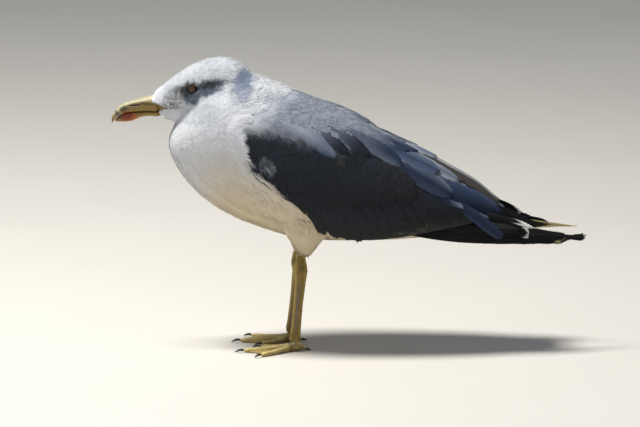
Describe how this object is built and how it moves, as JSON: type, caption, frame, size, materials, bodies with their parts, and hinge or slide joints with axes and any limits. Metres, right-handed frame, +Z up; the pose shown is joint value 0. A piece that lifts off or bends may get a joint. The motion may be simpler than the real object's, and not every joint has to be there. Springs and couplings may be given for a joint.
{
  "type": "standing seagull model",
  "caption": "Life-size still model of a standing adult gull with folded grey wings, hunched neck, hooked bill and webbed feet.",
  "frame": {"origin": "on the floor under the middle of the bird's box", "axes": "+Z up, bill towards -Y, the bird's left side towards +X"},
  "size_m": [0.1376, 0.52, 0.3236],
  "materials": {
    "flesh_white": "matte",
    "feather_white": "matte",
    "feather_grey": "matte",
    "quill_black": "satin",
    "bill": "satin",
    "iris": "gloss",
    "leg_skin": "satin",
    "claw": "satin"
  },
  "bodies": {
    "root": {"head": "flesh_white", "neck": "flesh_white", "trunk": "flesh_white", "rump": "feather_white", "tail": "feather_white", "bill_upper": "bill", "bill_lower": "bill", "eye_left": "iris", "wing_left": "feather_grey", "primaries_left": "quill_black", "thigh_left": "flesh_white", "shank_left": "leg_skin", "foot_left": "leg_skin", "claw_inner_left": "claw", "claw_middle_left": "claw", "claw_outer_left": "claw", "claw_hind_left": "claw", "eye_right": "iris", "wing_right": "feather_grey", "primaries_right": "quill_black", "thigh_right": "flesh_white", "shank_right": "leg_skin", "foot_right": "leg_skin", "claw_inner_right": "claw", "claw_middle_right": "claw", "claw_outer_right": "claw", "claw_hind_right": "claw"}
  },
  "joints": []
}
